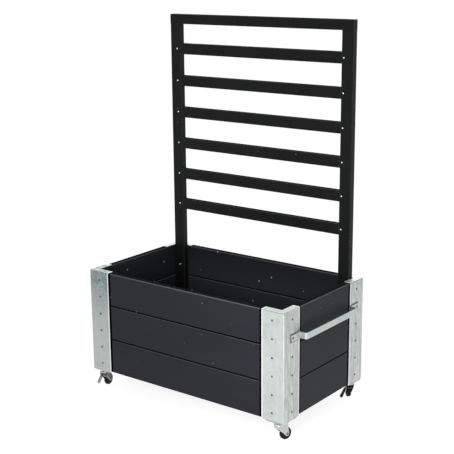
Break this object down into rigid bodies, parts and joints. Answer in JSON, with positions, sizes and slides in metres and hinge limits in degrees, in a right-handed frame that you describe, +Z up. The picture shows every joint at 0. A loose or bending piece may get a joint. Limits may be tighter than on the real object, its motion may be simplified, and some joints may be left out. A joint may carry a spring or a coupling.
{
  "type": "rolling planter box with trellis",
  "caption": "Rectangular box of dark stained boards with folded steel corners on braked swivel casters, with a pull handle and a timber trellis for climbing plants.",
  "frame": {"origin": "on the floor, under the middle of the box", "axes": "+X along the box to the end with the handle, +Y to the trellis at the back, +Z up"},
  "size_m": [1.0382, 0.5928, 1.5775],
  "materials": {
    "stained_wood": "black wood stain, matte, grain showing through",
    "galvanised_steel": "hot-dip galvanised sheet with faint spangle",
    "screw_steel": "bright zinc plate",
    "zinc_steel": "bright zinc plate",
    "race_plastic": "natural plastic",
    "wheel_plastic": "matte black plastic",
    "wheel_rubber": "matte black rubber"
  },
  "bodies": {
    "planter": {"front_board_top": "stained_wood", "front_board_middle": "stained_wood", "front_board_bottom": "stained_wood", "right_board_top": "stained_wood", "right_board_middle": "stained_wood", "right_board_bottom": "stained_wood", "back_board_top": "stained_wood", "back_board_middle": "stained_wood", "back_board_bottom": "stained_wood", "left_board_top": "stained_wood", "left_board_middle": "stained_wood", "left_board_bottom": "stained_wood", "front_floor_bearer": "stained_wood", "back_floor_bearer": "stained_wood", "floor_boards": "stained_wood", "trellis_post_left": "stained_wood", "trellis_post_right": "stained_wood", "trellis_top_rail": "stained_wood", "trellis_rail_1": "stained_wood", "trellis_rail_2": "stained_wood", "trellis_rail_3": "stained_wood", "trellis_rail_4": "stained_wood", "trellis_rail_5": "stained_wood", "trellis_rail_6": "stained_wood", "corner_bracket_front_left": "galvanised_steel", "corner_bracket_front_right": "galvanised_steel", "corner_bracket_back_left": "galvanised_steel", "corner_bracket_back_right": "galvanised_steel", "pull_handle": "galvanised_steel", "bracket_screws": "screw_steel", "floor_screws": "screw_steel", "trellis_rail_pins": "screw_steel", "trellis_post_screws": "screw_steel", "caster_plate_front_left": "zinc_steel", "caster_plate_front_right": "zinc_steel", "caster_plate_back_left": "zinc_steel", "caster_plate_back_right": "zinc_steel", "caster_kingpins": "zinc_steel", "swivel_race_rings": "race_plastic", "caster_bolts": "zinc_steel", "caster_nuts": "zinc_steel"},
    "swivel_front_left": {"caster_fork_front_left": "zinc_steel", "caster_axle_front_left": "zinc_steel"},
    "wheel_front_left": {"wheel_hub_front_left": "wheel_plastic", "wheel_tyre_front_left": "wheel_rubber"},
    "brake_front_left": {"brake_lever_front_left": "zinc_steel"},
    "swivel_front_right": {"caster_fork_front_right": "zinc_steel", "caster_axle_front_right": "zinc_steel"},
    "wheel_front_right": {"wheel_hub_front_right": "wheel_plastic", "wheel_tyre_front_right": "wheel_rubber"},
    "swivel_back_left": {"caster_fork_back_left": "zinc_steel", "caster_axle_back_left": "zinc_steel"},
    "wheel_back_left": {"wheel_hub_back_left": "wheel_plastic", "wheel_tyre_back_left": "wheel_rubber"},
    "swivel_back_right": {"caster_fork_back_right": "zinc_steel", "caster_axle_back_right": "zinc_steel"},
    "wheel_back_right": {"wheel_hub_back_right": "wheel_plastic", "wheel_tyre_back_right": "wheel_rubber"},
    "brake_back_right": {"brake_lever_back_right": "zinc_steel"}
  },
  "joints": [
    {"name": "swivel_turn_front_left", "type": "hinge", "parent": "planter", "child": "swivel_front_left", "pos_m": [-0.464, -0.254, 0.07], "axis": [0, 0, 1], "continuous": true},
    {"name": "wheel_spin_front_left", "type": "hinge", "parent": "swivel_front_left", "child": "wheel_front_left", "pos_m": [-0.46872, -0.23354, 0.025], "axis": [0.9744, 0.225, 0], "continuous": true},
    {"name": "brake_release_front_left", "type": "hinge", "parent": "swivel_front_left", "child": "brake_front_left", "pos_m": [-0.4631, -0.2579, 0.046], "axis": [-0.9744, -0.225, 0], "range_deg": [0, 25]},
    {"name": "swivel_turn_front_right", "type": "hinge", "parent": "planter", "child": "swivel_front_right", "pos_m": [0.464, -0.254, 0.07], "axis": [0, 0, 1], "continuous": true},
    {"name": "wheel_spin_front_right", "type": "hinge", "parent": "swivel_front_right", "child": "wheel_front_right", "pos_m": [0.46943, -0.23372, 0.025], "axis": [0.9659, -0.2588, 0], "continuous": true},
    {"name": "swivel_turn_back_left", "type": "hinge", "parent": "planter", "child": "swivel_back_left", "pos_m": [-0.464, 0.254, 0.07], "axis": [0, 0, 1], "continuous": true},
    {"name": "wheel_spin_back_left", "type": "hinge", "parent": "swivel_back_left", "child": "wheel_back_left", "pos_m": [-0.46253, 0.27495, 0.025], "axis": [0.9976, -0.0698, 0], "continuous": true},
    {"name": "swivel_turn_back_right", "type": "hinge", "parent": "planter", "child": "swivel_back_right", "pos_m": [0.464, 0.254, 0.07], "axis": [0, 0, 1], "continuous": true},
    {"name": "wheel_spin_back_right", "type": "hinge", "parent": "swivel_back_right", "child": "wheel_back_right", "pos_m": [0.44995, 0.26961, 0.025], "axis": [0.7431, 0.6691, 0], "continuous": true},
    {"name": "brake_release_back_right", "type": "hinge", "parent": "swivel_back_right", "child": "brake_back_right", "pos_m": [0.46668, 0.25103, 0.046], "axis": [-0.7431, -0.6691, 0], "range_deg": [0, 25]}
  ]
}
